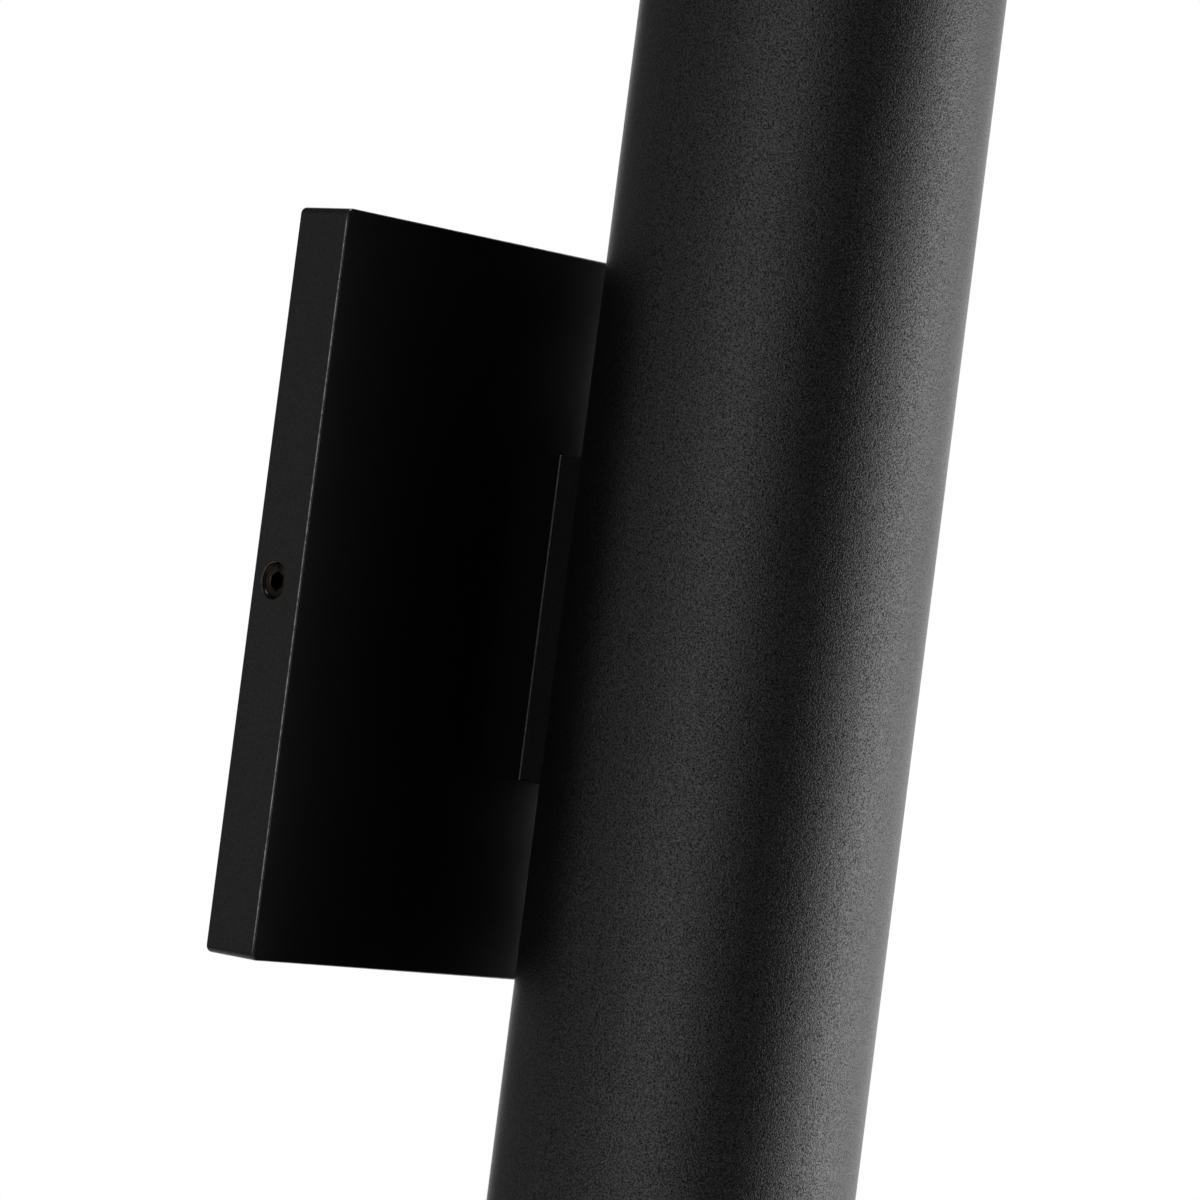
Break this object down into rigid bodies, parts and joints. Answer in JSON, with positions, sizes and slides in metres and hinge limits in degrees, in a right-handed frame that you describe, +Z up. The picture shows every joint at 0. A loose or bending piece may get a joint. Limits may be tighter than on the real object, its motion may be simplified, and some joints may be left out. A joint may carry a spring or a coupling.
{
  "type": "wall light",
  "caption": "Round tube wall light that shines up and down, held off a square wall canopy by a narrow standoff block; satin black.",
  "frame": {"origin": "centre of the wall face, at the middle of the bracket's slot pattern", "axes": "+Z up along the tube, +Y into the wall, the light stands out towards -Y, +X to the viewer's right"},
  "size_m": [0.127, 0.0855, 0.305],
  "materials": {
    "powder_black": "satin fine-textured powder coat",
    "ring_black": "satin fine-textured powder coat",
    "black_oxide": "black oxide",
    "zinc_steel": "zinc plated",
    "earth_green": "green lacquer",
    "brass": "turned",
    "black_rubber": "matte",
    "white_silicone": "matte",
    "terminal_white": "moulded",
    "driver_white": "moulded",
    "cast_aluminium": "as cast",
    "bright_aluminium": "polished",
    "thermal_grey": "matte",
    "board_white": "solder mask",
    "phosphor_yellow": "silicone over phosphor",
    "clear_glass": "clear",
    "lead_white": "insulation",
    "lead_red": "insulation"
  },
  "bodies": {
    "bracket": {"wall_bracket": "zinc_steel", "ground_screw": "earth_green"},
    "fixture": {"canopy_cover": "powder_black", "left_screw_bush": "brass", "right_screw_bush": "brass", "standoff_block": "powder_black", "upper_arm_screw": "zinc_steel", "lower_arm_screw": "zinc_steel", "grommet": "black_rubber", "terminal_block": "terminal_white", "upper_terminal_screw": "zinc_steel", "lower_terminal_screw": "zinc_steel", "tube": "powder_black", "nut_bar": "zinc_steel", "driver_tray": "zinc_steel", "upper_tray_screw": "zinc_steel", "lower_tray_screw": "zinc_steel", "driver": "driver_white", "driver_strap": "zinc_steel", "supply_leads": "lead_white", "upper_heat_sink": "cast_aluminium", "upper_thermal_pad": "thermal_grey", "upper_led_board": "board_white", "upper_led_emitter": "phosphor_yellow", "upper_reflector": "bright_aluminium", "upper_lens": "clear_glass", "upper_gasket": "white_silicone", "upper_sink_screw": "black_oxide", "upper_led_leads": "lead_red", "lower_heat_sink": "cast_aluminium", "lower_thermal_pad": "thermal_grey", "lower_led_board": "board_white", "lower_led_emitter": "phosphor_yellow", "lower_reflector": "bright_aluminium", "lower_lens": "clear_glass", "lower_gasket": "white_silicone", "lower_sink_screw": "black_oxide", "lower_led_leads": "lead_red"},
    "left_set_screw": {"left_set_screw": "black_oxide"},
    "right_set_screw": {"right_set_screw": "black_oxide"},
    "upper_ring": {"upper_retaining_ring": "ring_black"},
    "lower_ring": {"lower_retaining_ring": "ring_black"}
  },
  "joints": [
    {"name": "fixture_off_bracket", "type": "slide", "parent": "bracket", "child": "fixture", "axis": [0, -1, 0], "range_m": [0, 0.02]},
    {"name": "left_set_screw_turn", "type": "hinge", "parent": "fixture", "child": "left_set_screw", "pos_m": [-0.0602, -0.0055, 0], "axis": [-1, 0, 0], "range_deg": [0, 1080]},
    {"name": "right_set_screw_turn", "type": "hinge", "parent": "fixture", "child": "right_set_screw", "pos_m": [0.0602, -0.0055, 0], "axis": [1, 0, 0], "range_deg": [0, 1080]},
    {"name": "upper_ring_turn", "type": "hinge", "parent": "fixture", "child": "upper_ring", "pos_m": [0, -0.0545, 0.145], "axis": [0, 0, 1], "range_deg": [0, 1440]},
    {"name": "lower_ring_turn", "type": "hinge", "parent": "fixture", "child": "lower_ring", "pos_m": [0, -0.0545, -0.145], "axis": [0, 0, -1], "range_deg": [0, 1440]}
  ]
}
